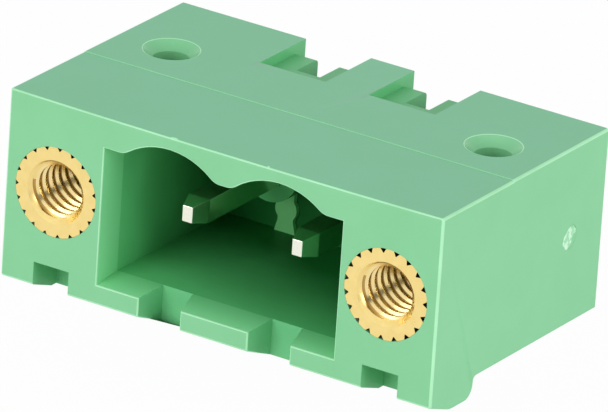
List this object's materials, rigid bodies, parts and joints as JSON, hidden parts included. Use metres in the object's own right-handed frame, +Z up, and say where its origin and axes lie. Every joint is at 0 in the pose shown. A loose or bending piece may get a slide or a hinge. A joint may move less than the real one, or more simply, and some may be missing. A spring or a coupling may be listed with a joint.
{
  "type": "pluggable terminal block header",
  "caption": "Board-side right-angle header of a pluggable terminal block, with an arched socket, pin contacts and threaded brass flange inserts.",
  "frame": {"origin": "midway between the two solder tails, on the plane of the circuit board, which is the seat of the housing", "axes": "+X along the row of pins, +Y from the mouth of the socket to the rear, +Z up from the board"},
  "size_m": [0.02, 0.012, 0.0114],
  "materials": {
    "housing_green": "satin moulded plastic",
    "brass": "bright turned brass",
    "tinned_pin": "bright tin plate"
  },
  "bodies": {
    "root": {"housing": "housing_green", "threaded_insert_left": "brass", "threaded_insert_right": "brass", "contact_pin_left": "tinned_pin", "contact_pin_right": "tinned_pin"}
  },
  "joints": []
}
